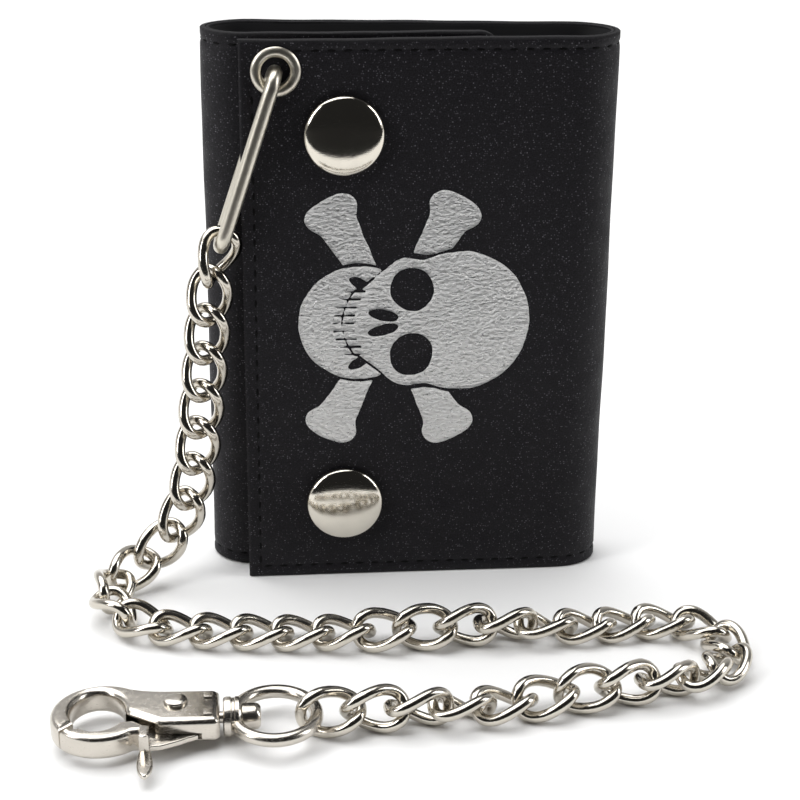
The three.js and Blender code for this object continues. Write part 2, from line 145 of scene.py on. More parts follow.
def add_room():
    """A room dark in front and paler behind, with a white backdrop low behind and beside."""
    world = bpy.data.worlds.new("studio")
    bpy.context.scene.world = world
    world.use_nodes = True
    nodes = world.node_tree.nodes
    links = world.node_tree.links
    coords = nodes.new("ShaderNodeTexCoord")
    split = nodes.new("ShaderNodeSeparateXYZ")
    links.new(coords.outputs["Generated"], split.inputs[0])

    def graded_by(axis, start, end, first, last):
        """A shade that runs from first to last as the direction's axis runs from start to end."""
        node = nodes.new("ShaderNodeMapRange")
        node.inputs["From Min"].default_value = start
        node.inputs["From Max"].default_value = end
        node.inputs["To Min"].default_value = first
        node.inputs["To Max"].default_value = last
        links.new(split.outputs[axis], node.inputs["Value"])
        return node.outputs["Result"]

    backdrop = nodes.new("ShaderNodeMath")
    backdrop.operation = "MULTIPLY"
    links.new(graded_by("Z", 0.24, 0.15, 0, 1), backdrop.inputs[0])
    links.new(graded_by("Y", -0.45, -0.25, 0, 1), backdrop.inputs[1])
    shade = nodes.new("ShaderNodeMix")
    links.new(backdrop.outputs["Value"], shade.inputs["Factor"])
    links.new(graded_by("Y", -0.1, 0.7, 0.02, 0.5), shade.inputs["A"])
    shade.inputs["B"].default_value = 0.9
    background = nodes["Background"]
    links.new(shade.outputs["Result"], background.inputs["Color"])
    background.inputs["Strength"].default_value = 1.0


def add_studio():
    """Soft light from both sides and above, a pale floor, and a dark sheet that metals reflect."""
    add_room()
    add_softbox("softbox_left", (-0.8, -0.35, 0.5), (0.25, 0.6), 3.5)
    add_softbox("softbox_right", (0.85, -0.2, 0.45), (0.25, 0.6), 2.5)
    sky = bpy.data.lights.new("overhead", "SUN")
    sky.energy = 3.0
    sky.angle = math.radians(70)
    overhead = bpy.data.objects.new("overhead", sky)
    overhead.rotation_euler = (math.radians(-12), math.radians(-14), 0)
    bpy.context.collection.objects.link(overhead)
    add_sheet("floor", -ROOM_SIDE, ROOM_SIDE, 0, 0.92)
    flag = add_sheet("dark_flag", -ROOM_SIDE, FLAG_FRONT, 0.001, 0.012)
    flag.visible_camera = False
    flag.visible_diffuse = False
    flag.visible_shadow = False


def add_sheet(name, front, back, level, shade):
    """A flat paper sheet of the studio, in metres, across the whole room."""
    mesh = bpy.data.meshes.new(name)
    outline = [(-ROOM_SIDE, front), (ROOM_SIDE, front), (ROOM_SIDE, back), (-ROOM_SIDE, back)]
    mesh.from_pydata([(x, y, level) for x, y in outline], [], [(0, 1, 2, 3)])
    sheet = bpy.data.objects.new(name, mesh)
    bpy.context.collection.objects.link(sheet)
    paper = bpy.data.materials.new(name + "_paper")
    paper.use_nodes = True
    shader = paper.node_tree.nodes["Principled BSDF"]
    shader.inputs["Base Color"].default_value = (shade, shade, shade, 1)
    shader.inputs["Roughness"].default_value = 0.85
    shader.inputs["Specular IOR Level"].default_value = 0.1
    mesh.materials.append(paper)
    return sheet


# ---- materials
class Nodes:
    """A small helper that keeps a material's node calls short."""

    def __init__(self, name):
        self.material = bpy.data.materials.new(name)
        self.material.use_nodes = True
        self.tree = self.material.node_tree
        self.shader = self.tree.nodes["Principled BSDF"]

    def add(self, kind, **values):
        """A node with its sockets or its settings filled in."""
        node = self.tree.nodes.new(kind)
        for key, value in values.items():
            if key in node.inputs:
                node.inputs[key].default_value = value
            else:
                setattr(node, key, value)
        return node

    def link(self, source, target):
        self.tree.links.new(source, target)

    def coordinates(self, kind, scale=(1, 1, 1)):
        coords = self.add("ShaderNodeTexCoord")
        mapping = self.add("ShaderNodeMapping", Scale=scale)
        self.link(coords.outputs[kind], mapping.inputs["Vector"])
        return mapping.outputs["Vector"]

    def noise(self, vector, scale, detail=2.0, roughness=0.5):
        node = self.add("ShaderNodeTexNoise", Scale=scale, Detail=detail, Roughness=roughness)
        self.link(vector, node.inputs["Vector"])
        return node.outputs["Fac"]

    def cells(self, vector, scale):
        node = self.add("ShaderNodeTexVoronoi", Scale=scale)
        self.link(vector, node.inputs["Vector"])
        return node

    def ramp(self, source, stops):
        """A colour that follows the source through two or more stops."""
        node = self.add("ShaderNodeValToRGB")
        elements = node.color_ramp.elements
        while len(elements) < len(stops):
            elements.new(0.5)
        for element, (position, color) in zip(elements, stops):
            element.position = position
            element.color = (*color, 1)
        self.link(source, node.inputs["Fac"])
        return node.outputs["Color"]

    def math(self, operation, first, second):
        """One operation on two values, each a socket or a plain number."""
        node = self.add("ShaderNodeMath", operation=operation)
        for index, value in enumerate((first, second)):
            if isinstance(value, (int, float)):
                node.inputs[index].default_value = value
            else:
                self.link(value, node.inputs[index])
        return node.outputs[0]

    def bump(self, height, strength, distance, below=None):
        node = self.add("ShaderNodeBump", Strength=strength, Distance=distance)
        self.link(height, node.inputs["Height"])
        if below is not None:
            self.link(below, node.inputs["Normal"])
        return node.outputs["Normal"]

    def finish(self, color, roughness, normal, **fixed):
        """The finished material: three linked sockets, and plain numbers for the others."""
        for socket, value in fixed.items():
            self.shader.inputs[socket.replace("_", " ")].default_value = value
        self.link(color, self.shader.inputs["Base Color"])
        if roughness is not None:
            self.link(roughness, self.shader.inputs["Roughness"])
        self.link(normal, self.shader.inputs["Normal"])
        return self.material


def grey(value):
    return (value, value, value)


def make_leather():
    """Black grained leather: fine pebbles, faint blotches, and many tiny pale points that are
    painted glints of light on the grain.
    """
    n = Nodes("black_leather")
    flat = n.coordinates("UV")
    pebbles = n.cells(flat, 1500).outputs["Distance"]
    fine = n.noise(flat, 3500, 3)
    broad = n.noise(flat, 45, 3)
    height = n.math("ADD", n.math("MULTIPLY", pebbles, -0.8), n.math("MULTIPLY", fine, 0.5))
    normal = n.bump(height, 0.5, 0.00012, n.bump(broad, 0.25, 0.0012))
    # painted highlight: sparse tiny pale points mixed into the base colour stand for glints of
    # light on the grain
    glint_cells = n.cells(flat, 2500)
    glint_choice = n.ramp(glint_cells.outputs["Color"], [(0.5, grey(0)), (1.0, grey(1))])
    glint_spots = n.ramp(glint_cells.outputs["Distance"], [(0.16, grey(1)), (0.36, grey(0))])
    painted_glint = n.math("MULTIPLY", glint_choice, glint_spots)
    base = n.ramp(fine, [(0.35, (0.0035, 0.0031, 0.0043)), (0.7, (0.0125, 0.0114, 0.0148))])
    mixed = n.add("ShaderNodeMix", data_type="RGBA")
    n.link(painted_glint, mixed.inputs["Factor"])
    n.link(base, mixed.inputs["A"])
    # the pale colour of the painted glints
    mixed.inputs["B"].default_value = (0.16, 0.155, 0.175, 1)
    rough = n.ramp(n.noise(flat, 220, 3), [(0.3, grey(0.5)), (0.7, grey(0.66))])
    return n.finish(mixed.outputs["Result"], rough, normal, Specular_IOR_Level=0.2)


def make_edge_leather():
    """The dyed cut edge of the leather: rough and black, with fibres along it."""
    n = Nodes("leather_edge")
    place = n.coordinates("Object")
    fibres = n.noise(place, 2400, 4, 0.7)
    color = n.ramp(fibres, [(0.35, (0.0045, 0.0042, 0.005)), (0.75, (0.016, 0.015, 0.018))])
    normal = n.bump(fibres, 0.5, 0.0002)
    return n.finish(color, None, normal, Roughness=0.75, Specular_IOR_Level=0.25)


def make_lining():
    """Smooth black pocket leather with a faint long grain."""
    n = Nodes("black_lining")
    place = n.coordinates("Object")
    grain = n.noise(place, 1900, 4, 0.6)
    cloud = n.noise(place, 60, 3)
    color = n.ramp(cloud, [(0.3, (0.008, 0.008, 0.009)), (0.7, (0.014, 0.014, 0.016))])
    return n.finish(color, None, n.bump(grain, 0.3, 0.0001), Roughness=0.7)


def make_thread_with_hole_shade():
    """Black waxed thread with a fine twist, painted darker still with the shade of the stitch
    holes.
    """
    n = Nodes("black_thread_and_hole_shade")
    place = n.coordinates("Object")
    ply = n.noise(place, 5200, 2)
    # painted shade: the thread's black is taken down to near zero to stand for the shade in the
    # stitch holes
    color = n.ramp(ply, [(0.4, (0.0004, 0.0004, 0.0005)), (0.75, (0.004, 0.004, 0.0045))])
    normal = n.bump(ply, 0.5, 0.0001)
    return n.finish(color, None, normal, Roughness=0.6, Specular_IOR_Level=0.12)


def make_foil():
    """Silver foil pressed on leather, with fine level wrinkles that glint."""
    n = Nodes("silver_foil")
    wrinkles = n.noise(n.coordinates("Object", (1, 1, 1.6)), 1000, 4, 0.6)
    grain = n.noise(n.coordinates("Object"), 2600, 3)
    broad = n.noise(n.coordinates("Object"), 70, 2)
    normal = n.bump(wrinkles, 0.65, 0.0005, n.bump(broad, 0.5, 0.0012))
    color = n.ramp(wrinkles, [(0.3, grey(0.5)), (0.42, grey(0.78)), (0.7, grey(0.86))])
    rough = n.ramp(grain, [(0.3, grey(0.26)), (0.7, grey(0.36))])
    return n.finish(color, rough, normal, Metallic=1.0)


def make_nickel(name, tint, low, high, unevenness):
    """Polished nickel with a cloudy gloss, faint dents and fine wiping marks."""
    n = Nodes(name)
    place = n.coordinates("Object")
    cloud = n.noise(place, 240, 3)
    streak = n.noise(n.coordinates("Object", (1, 1, 9)), 900, 3)
    dents = n.noise(place, 130, 1)
    darker = tuple(channel * 0.9 for channel in tint)
    color = n.ramp(cloud, [(0.25, darker), (0.7, tint)])
    rough = n.ramp(streak, [(0.3, grey(low)), (0.75, grey(high))])
    normal = n.bump(streak, 0.06, 0.0001, n.bump(dents, unevenness, 0.0008))
    return n.finish(color, rough, normal, Metallic=1.0)


# ---- mesh helpers
def mesh_object(name, points, faces, materials, indices=None, sharp=FLAT_CREASE, uvs=None):
    """A smooth-shaded object from millimetre points, with creases sharper than `sharp` degrees."""
    mesh = bpy.data.meshes.new(name)
    mesh.from_pydata((np.asarray(points, float) * MM).tolist(), [], faces)
    for material in materials:
        mesh.materials.append(material)
    if indices is not None:
        mesh.polygons.foreach_set("material_index", np.asarray(indices, np.int32))
    if uvs is not None:
        layer = mesh.uv_layers.new(name="surface")
        corners_of = np.empty(len(mesh.loops), np.int32)
        mesh.loops.foreach_get("vertex_index", corners_of)
        layer.data.foreach_set("uv", (np.asarray(uvs, float) * MM)[corners_of].ravel())
    mesh.validate()
    mesh.shade_smooth()
    mesh.set_sharp_from_angle(angle=math.radians(sharp))
    thing = bpy.data.objects.new(name, mesh)
    bpy.context.collection.objects.link(thing)
    return thing


def face_outwards(mesh, merge=0):
    """Turn every face outwards, after merging points closer than `merge` metres."""
    work = bmesh.new()
    work.from_mesh(mesh)
    bmesh.ops.remove_doubles(work, verts=work.verts, dist=merge)
    bmesh.ops.recalc_face_normals(work, faces=work.faces)
    work.to_mesh(mesh)
    work.free()


def apply_boolean(target, cutter):
    """Cut the cutter out of the target and remove it."""
    modifier = target.modifiers.new("cut", "BOOLEAN")
    modifier.operation = "DIFFERENCE"
    modifier.solver = "EXACT"
    modifier.object = cutter
    bpy.context.view_layer.update()
    depsgraph = bpy.context.evaluated_depsgraph_get()
    result = bpy.data.meshes.new_from_object(target.evaluated_get(depsgraph))
    target.modifiers.clear()
    target.data = result
    result.shade_smooth()
    result.set_sharp_from_angle(angle=math.radians(FLAT_CREASE))
    bpy.data.objects.remove(cutter)


def tube_faces(rings, width, closed=False):
    """Quads between rings of points, and a cap at both ends unless the tube closes on itself."""
    faces = []
    for i in range(rings if closed else rings - 1):
        here = i * width
        there = (i + 1) % rings * width
        for j in range(width):
            k = (j + 1) % width
            faces.append((here + j, here + k, there + k, there + j))
    if not closed:
        last = (rings - 1) * width
        faces.append(tuple(reversed(range(width))))
        faces.append(tuple(range(last, last + width)))
    return faces


def lathe(profile, center, axis, steps=48):
    """Points and faces of a turned piece: profile points are (radius, distance along the axis)."""
    axis = Vector(axis).normalized()
    side = axis.orthogonal().normalized()
    other = axis.cross(side)
    points = []
    for radius, distance in profile:
        for i in range(steps):
            angle = 2 * math.pi * i / steps
            spoke = side * math.cos(angle) + other * math.sin(angle)
            points.append(Vector(center) + axis * distance + spoke * max(radius, 0.001))
    faces = tube_faces(len(profile), steps)
    if profile[0] == profile[-1]:
        del faces[-2:]
    return np.array(points), faces


def closed_wire(centers, outward, radius, sides):
    """Points and faces of a closed wire of round section along a ring of centre points."""
    centers = np.asarray(centers, float)
    tangent = np.roll(centers, -1, 0) - np.roll(centers, 1, 0)
    tangent /= np.linalg.norm(tangent, axis=1)[:, None]
    out = np.asarray(outward, float)
    out = out - (out * tangent).sum(1)[:, None] * tangent
    out /= np.linalg.norm(out, axis=1)[:, None]
    across = np.cross(out, tangent)
    angle = np.linspace(0, 2 * math.pi, sides, endpoint=False)[None, :, None]
    ring = np.cos(angle) * out[:, None] + np.sin(angle) * across[:, None]
    points = (centers[:, None] + radius * ring).reshape(-1, 3)
    return points, tube_faces(len(centers), sides, closed=True)


def principal_frame(node):
    """Centre, right-handed axes (longest first) and half sizes of a CAD node, in millimetres."""
    mesh = frame["nodes"][node].data
    points = np.empty(len(mesh.vertices) * 3)
    mesh.vertices.foreach_get("co", points)
    points = np.unique(np.round(points.reshape(-1, 3) / MM, 3), axis=0)
    center = points.mean(0)
    axes = np.linalg.eigh(np.cov((points - center).T))[1].T[::-1].copy()
    if np.linalg.det(axes) < 0:
        axes[2] *= -1
    half = np.abs((points - center) @ axes.T).max(0)
    return center, axes, half


# ---- leather shell
QUARTER_STEPS = 14
OVAL_PULL = 0.5523              # makes a cubic curve follow a quarter of an oval


def quarter(start, end, leaving):
    """A quarter of an oval from start to end, leaving start along x or along y."""
    start = np.array(start, float)
    end = np.array(end, float)
    first, second = start.copy(), end.copy()
    lead = 0 if leaving == "x" else 1
    first[lead] += (end[lead] - start[lead]) * OVAL_PULL
    second[1 - lead] += (start[1 - lead] - end[1 - lead]) * OVAL_PULL
    t = np.linspace(0, 1, QUARTER_STEPS + 1)[:, None]
    u = 1 - t
    return u**3 * start + 3 * u * u * t * first + 3 * u * t * t * second + t**3 * end


def shell_plan():
    """The plan line of the whole outer leather, from the flap's free edge to the inner panel's."""
    stretches = [
        np.array([(FLAP_LEFT, 0), (FOLD_START, 0)], float),
        quarter((FOLD_START, 0), RIGHT_FOLD, "x"),
        quarter(RIGHT_FOLD, (FOLD_START, RIGHT_BACK_Y), "y"),
        np.array([(FOLD_START, RIGHT_BACK_Y), LEFT_BACK], float),
        quarter(LEFT_BACK, LEFT_FOLD, "x"),
        quarter(LEFT_FOLD, (INNER_FRONT_X, INNER_Y), "y"),
        np.array([(INNER_FRONT_X, INNER_Y), (INNER_RIGHT, INNER_Y)], float),
    ]
    plan = np.vstack([stretches[0]] + [stretch[1:] for stretch in stretches[1:]])
    distance = np.concatenate([[0], np.cumsum(np.linalg.norm(np.diff(plan, axis=0), axis=1))])
    return plan, distance


PLAN, PLAN_DISTANCE = shell_plan()
SHELL_LENGTH = PLAN_DISTANCE[-1]
BACK_START = PLAN_DISTANCE[1 + 2 * QUARTER_STEPS]
BACK_SEAM = float(BACK_START + 27)   # where the two halves of the shell meet on the back


def plan_point(s):
    """The middle of the leather at a distance along the plan line."""
    x = np.interp(s, PLAN_DISTANCE, PLAN[:, 0])
    y = np.interp(s, PLAN_DISTANCE, PLAN[:, 1])
    return np.stack([x, y], -1)


def plan_outward(s):
    """The direction out of the leather's grain side, in plan."""
    step = 0.4
    tangent = plan_point(np.minimum(s + step, SHELL_LENGTH)) - plan_point(np.maximum(s - step, 0))
    tangent /= np.linalg.norm(tangent, axis=-1)[..., None]
    return np.stack([tangent[..., 1], -tangent[..., 0]], -1)


def ripple(a, b, seed):
    """A smooth, repeatable unevenness between about -1 and 1."""
    return (
        np.sin(a * 0.11 + 1.3 * seed + np.sin(b * 0.07 + seed))
        + np.sin(b * 0.13 + 2.1 * seed + np.sin(a * 0.09 - seed))
        + 0.5 * np.sin((a + b) * 0.31 + 4 * seed)
    ) / 2.5


def dent(distance, width, depth):
    """A soft hollow round a line or a point."""
    return depth * np.exp(-(distance / width) ** 2)


def stitch_lines():
    """Every seam of the shell: (first s, first z, last s, last z)."""
    top = HEIGHT - STITCH_INSET
    low = STITCH_INSET
    flap_edge = STITCH_INSET
    inner_edge = SHELL_LENGTH - STITCH_INSET
    return [
        (flap_edge, low, flap_edge, top - 7.5),
        (flap_edge + 7, top, BACK_SEAM, top),
        (flap_edge, low, BACK_SEAM, low),
        (BACK_SEAM, top, inner_edge, top),
        (BACK_SEAM, low, inner_edge, low),
        (inner_edge, low, inner_edge, top),
    ]


SEAM_GROOVE = (0.5, 0.26)       # width and depth of the leather's marks
CAP_MARK = (1.6, 0.28)
EYELET_MARK = (1.2, 0.22)
EYELET_RIM = 4.6                # radius where the flange presses on the leather
FAR = 9.0                       # further from a seam than its groove reaches


def relief(s, z):
    """How far the grain side stands out from the true plane."""
    height = 0.14 * ripple(s, z, 1.0)
    for s0, z0, s1, z1 in stitch_lines():
        if s0 == s1:
            near = np.where((z > z0 - 1) & (z < z1 + 1), np.abs(s - s0), FAR)
        else:
            near = np.where((s > s0 - 1) & (s < s1 + 1), np.abs(z - z0), FAR)
        height = height - dent(near, *SEAM_GROOVE)
    on_flap = s < FOLD_START - FLAP_LEFT
    x = FLAP_LEFT + s
    for cap_x, cap_z in CAPS:
        away = np.hypot(x - cap_x, z - cap_z)
        height = height - np.where(on_flap, dent(away - CAP_RADIUS, *CAP_MARK), 0)
    away = np.hypot(x - EYELET_X, z - EYELET_Z)
    return height - np.where(on_flap, dent(away - EYELET_RIM, *EYELET_MARK), 0)


def graded(start, end, coarse, fine, zones):
    """Rising samples from start to end: coarse steps, and fine ones inside each zone."""
    samples = [np.linspace(start, end, max(2, round((end - start) / coarse) + 1))]
    for low, high in zones:
        low, high = max(low, start), min(high, end)
        if high > low:
            samples.append(np.arange(low, high, fine))
    joined = np.unique(np.round(np.concatenate(samples), 3))
    keep = np.concatenate([[True], np.diff(joined) > fine * 0.45])
    keep[-1] = True
    return joined[keep]


def corner_lift(s, end_s, radius):
    """How much a rounded corner of that radius lifts the panel's edge near its end."""
    inside = np.clip(radius - np.abs(s - end_s), 0, radius)
    return radius - np.sqrt(np.maximum(radius**2 - inside**2, 0))


EDGE_ROUND = 0.4                # rounding of the grain side's cut edge
LINING_ROUND = 0.3              # rounding of the lining's cut edge
EDGE_DIP = 0.05                 # the lining ends this much below the outer leather
SEAM_HALF_WIDTH = 0.16          # half of the gap between the two layers at a cut edge
FACE_MARGIN = 0.5               # the flat faces end this far from the top and bottom edges
CORNER_RADIUS = 4               # of the inner panel's free corners
FINE_ZONE = 5                   # the mesh is finer this near to the shell's ends
SEAM_ZONE = 5.2                 # and this near to its top and bottom edges
INSIDE_UV = 400                 # keeps the texture of the two sides apart


def cut_edge():
    """Section of a two-layer cut edge, grain side first: (distance from the middle, height)."""
    half = LEAF / 2
    groove = half - SKIN
    turns = np.linspace(0, math.pi / 2, 4)
    section = [
        (half - EDGE_ROUND + EDGE_ROUND * math.cos(a), EDGE_ROUND * math.sin(a) - EDGE_ROUND)
        for a in turns[1:]
    ]
    gap = SEAM_HALF_WIDTH
    section += [(groove + gap, 0), (groove, -0.3), (groove - gap, -EDGE_DIP)]
    section += [
        (-half + LINING_ROUND - LINING_ROUND * math.sin(a),
         -EDGE_DIP - LINING_ROUND + LINING_ROUND * math.cos(a))
        for a in turns[:-1]
    ]
    return section


def shell_half(name, s0, s1, materials):
    """One half of the shell as a closed leaf with rounded, two-layer cut edges.

    Its materials are the grain side's, the cut edges' and the lining's, in that order.
    """
    rows = graded(s0, s1, 1.3, 0.3, [(0, FINE_ZONE), (SHELL_LENGTH - FINE_ZONE, SHELL_LENGTH)])
    seam_zones = [(0, SEAM_ZONE), (HEIGHT - SEAM_ZONE, HEIGHT)]
    face_z = graded(FACE_MARGIN, HEIGHT - FACE_MARGIN, 1.4, 0.28, seam_zones)
    edge = cut_edge()
    loop = [("out", LEAF / 2, z) for z in face_z]
    loop += [("top", n, dz) for n, dz in edge]
    loop += [("in", -LEAF / 2, z) for z in face_z[::-1]]
    loop += [("low", n, dz) for n, dz in edge[::-1]]
    kinds = np.array([kind for kind, _, _ in loop])
    offset = np.array([n for _, n, _ in loop])
    level = np.array([z for _, _, z in loop])
    s = rows[:, None]
    n = np.broadcast_to(offset, (len(rows), len(loop))).copy()
    lift = corner_lift(s, SHELL_LENGTH, CORNER_RADIUS)
    low_edge = lift + 0.12 + 0.1 * ripple(s, s * 0.7, 3.0)
    high_edge = HEIGHT - lift - 0.15 + 0.15 * ripple(s, s * 0.4, 2.0)
    z = np.empty_like(n)
    on_face = (kinds == "out") | (kinds == "in")
    share = (level[on_face] - FACE_MARGIN) / (HEIGHT - 2 * FACE_MARGIN)
    face_height = high_edge - low_edge - 2 * FACE_MARGIN
    z[:, on_face] = (low_edge + FACE_MARGIN) + share * face_height
    z[:, kinds == "top"] = high_edge + level[kinds == "top"]
    z[:, kinds == "low"] = low_edge - level[kinds == "low"]
    out = kinds == "out"
    n[:, out] += relief(s, z[:, out])
    inner = kinds == "in"
    n[:, inner] += 0.08 * ripple(s, z[:, inner], 5.0)
    to_end = np.minimum(np.abs(s), np.abs(s - SHELL_LENGTH))
    taper = np.clip(1 - to_end / 0.5, 0, 1)
    n *= 1 - 0.35 * taper**2
    xy = plan_point(rows)[:, None] + plan_outward(rows)[:, None] * n[..., None]
    points = np.concatenate([xy, z[..., None]], -1).reshape(-1, 3)
    faces = [face[:1] + face[:0:-1] for face in tube_faces(len(rows), len(loop))]
    around = np.where(kinds == "out", 0, np.where(inner, 2, 1))
    around[kinds != np.roll(kinds, -1)] = 1
    indices = [*around] * (len(rows) - 1) + [1, 1]
    across = np.broadcast_to(s, z.shape) + INSIDE_UV * (kinds == "in")
    uvs = np.stack([across, z], -1).reshape(-1, 2)
    return mesh_object(name, points, faces, materials, indices, FLAT_CREASE, uvs)


def stitch_points(s0, z0, s1, z1):
    """Middle of each stitch on a seam, in shell coordinates, and whether the seam is upright."""
    length = math.hypot(s1 - s0, z1 - z0)
    count = int(length / STITCH_PITCH)
    for i in range(count):
        t = (i + 0.5) / count
        yield s0 + (s1 - s0) * t, z0 + (z1 - z0) * t, s0 == s1


STITCH_LENGTH = 1.95
STITCH_WIDTH = 0.56
STITCH_LIFT = 0.16              # how far the middle of a stitch arches over its ends
STITCH_SINK = 0.16              # how far its ends go into the groove
STITCH_THICKNESS = 0.2
STITCH_SLANT = math.radians(4)
STITCH_RINGS = 7
STITCH_SIDES = 6


def stitch_bar(middle, along, side, out):
    """Points of one rounded stitch that arches out of the leather, ring by ring."""
    points = []
    for r in range(STITCH_RINGS):
        u = -1 + 2 * r / (STITCH_RINGS - 1)
        swell = math.sqrt(max(1 - (abs(u) ** 2.6), 0.02))
        arch = STITCH_LIFT * (1 - u * u) - STITCH_SINK
        for k in range(STITCH_SIDES):
            angle = 2 * math.pi * k / STITCH_SIDES
            points.append(
                middle + along * (u * STITCH_LENGTH / 2)
                + side * (STITCH_WIDTH / 2 * swell * math.cos(angle))
                + out * (arch + STITCH_THICKNESS * swell * math.sin(angle))
            )
    return points


def add_stitches(name, lines, material):
    """A row of short sunken stitches along each seam, one rounded bar for each."""
    bar_faces = tube_faces(STITCH_RINGS, STITCH_SIDES)
    points, faces = [], []
    for line in lines:
        for index, (s, z, upright) in enumerate(stitch_points(*line)):
            center = plan_point(np.array([s]))[0]
            normal = plan_outward(np.array([s]))[0]
            out = np.array([normal[0], normal[1], 0])
            level = np.array([0, 0, 1.0]) if upright else np.array([-normal[1], normal[0], 0])
            across = np.cross(out, level)
            slant = STITCH_SLANT * math.sin(index * 2.7)
            along = level * math.cos(slant) + across * math.sin(slant)
            side = across * math.cos(slant) - level * math.sin(slant)
            surface = float(relief(np.array([s]), np.array([z]))[0])
            middle = np.array([center[0], center[1], z]) + out * (LEAF / 2 + surface)
            first = len(points)
            points += stitch_bar(middle, along, side, out)
            faces += [tuple(first + k for k in face) for face in bar_faces]
    return mesh_object(name, points, faces, [material], None, 70)


def add_shell(leather, edge, lining, thread):
    """The outer shell: a front half round the right fold and a rear half round the left fold."""
    materials = [leather, edge, lining]
    front = shell_half("shell_front_half", 0, BACK_SEAM, materials)
    bore = EYELET_HOLE + 0.7
    hole, faces = lathe([(bore, -4), (bore, 4)], (EYELET_X, 0, EYELET_Z), (0, -1, 0), 32)
    apply_boolean(front, mesh_object("eyelet_hole_cutter", hole, faces, []))
    rear = shell_half("shell_rear_half", BACK_SEAM, SHELL_LENGTH, materials)
    seams = stitch_lines()
    front_stitches = add_stitches("stitches_front", seams[:3], thread)
    rear_stitches = add_stitches("stitches_rear", seams[3:], thread)
    for piece in (front, front_stitches):
        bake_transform(piece)
    for piece in (rear, rear_stitches):
        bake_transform(piece)
    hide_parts("front_flap")
    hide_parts("back_panel", "inner_panel")


# ---- pockets
def back_line(x):
    """The middle of the back panel's leather."""
    slope = (LEFT_BACK[1] - RIGHT_BACK_Y) / (LEFT_BACK[0] - FOLD_START)
    return RIGHT_BACK_Y + (x - FOLD_START) * slope


HEM_DEPTH = 2.4                 # from the hem line to the pocket's open edge
CARD_STEP = 14                  # how much lower each card pocket opens than the one behind it
BACK_POCKETS_X = (-32, 24)
DIVIDER_X = (-34, 26)


def pocket_sheet(x0, x1, z0, z1, near, far):
    """A thin leather leaf between two plan lines, with a rounded top edge and a pressed hem."""
    rows = np.linspace(x0, x1, 40)
    hem_rows = np.linspace(z1 - HEM_DEPTH - 1, z1 - HEM_DEPTH + 1, 7)
    face_z = np.unique(np.concatenate([np.linspace(z0, z1 - 0.2, 24), hem_rows]))
    count = len(face_z)
    z = np.concatenate([face_z, [z1 - 0.07, z1, z1, z1 - 0.07], face_z[::-1]])
    share = np.concatenate([np.zeros(count), [0.08, 0.3, 0.7, 0.92], np.ones(count)])
    points = []
    for x in rows:
        a, b = near(x), far(x)
        wave = 0.05 * ripple(x, z, 4.0)
        hem = dent(z - (z1 - HEM_DEPTH), 0.5, 0.1) * np.sign(b - a)
        inset = hem * np.where(share == 0, 1, np.where(share == 1, -1, 0))
        points += [(x, *pair) for pair in zip(a + (b - a) * share + wave + inset, z)]
    return points, tube_faces(len(rows), len(z))


def add_pocket_stack(name, node, body, x0, x1, count, line, step, material):
    """Leaves laid on each other from a plan line outwards, each opening lower than the last."""
    low, high = corners(node)
    points, faces = [], []
    for i in range(count):
        sheet_points, sheet_faces = pocket_sheet(
            x0, x1, low[2], high[2] - CARD_STEP * i,
            lambda x: line(x) + step * (i + 0.06),
            lambda x: line(x) + step * (i + 0.9),
        )
        first = len(points)
        points += sheet_points
        faces += [tuple(first + k for k in face) for face in sheet_faces]
    stack = mesh_object(name, points, faces, [material], None, 50)
    face_outwards(stack.data)
    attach(stack, body)
    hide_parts(node)


def add_pockets(material):
    """Three card pockets on each panel, and the leaf of the note compartment."""
    for panel, body in (("flap", "front_flap"), ("inner", "inner_panel")):
        node = panel + "_pockets"
        low, high = corners(node)
        add_pocket_stack(panel + "_card_pockets", node, body, low[0], high[0], 3,
                         lambda x: low[1], 0.4, material)
    add_pocket_stack("back_card_pockets", "back_pockets", "back_panel", *BACK_POCKETS_X, 3,
                     lambda x: back_line(x) - 2.5, -0.38, material)
    add_pocket_stack("note_divider", "bill_divider", "back_panel", *DIVIDER_X, 1,
                     lambda x: back_line(x) - 1.45, -0.6, material)


# ---- foil print
PRINT_MIDDLE_Z = 53.8
PRINT_STEP = 0.28
FOIL_LIFT = 0.07                # how far the foil stands on the leather
FOIL_DEPTH = 0.06               # how far it goes below the leather's surface


def ellipse_field(u, v, cu, cv, ru, rv, turn=0.0):
    """Signed distance, nearly, from an ellipse: negative inside."""
    c, s = math.cos(turn), math.sin(turn)
    du, dv = u - cu, v - cv
    a, b = (du * c + dv * s) / ru, (dv * c - du * s) / rv
    return (np.hypot(a, b) - 1) * min(ru, rv)


def bar_field(u, v, start, end, thin, thick):
    """Signed distance from a bar that widens more and more towards its end."""
    start, end = np.array(start, float), np.array(end, float)
    length = np.linalg.norm(end - start)
    direction = (end - start) / length
    along = np.clip((u - start[0]) * direction[0] + (v - start[1]) * direction[1], 0, length)
    away = np.hypot(u - start[0] - direction[0] * along, v - start[1] - direction[1] * along)
    return away - (thin + (thick - thin) * (along / length) ** 2)


def rounded_union(a, b, softness):
    """Two shapes as one, with a soft inner corner where they meet."""
    blend = np.clip(0.5 + 0.5 * (b - a) / softness, 0, 1)
    return b * (1 - blend) + a * blend - softness * blend * (1 - blend)


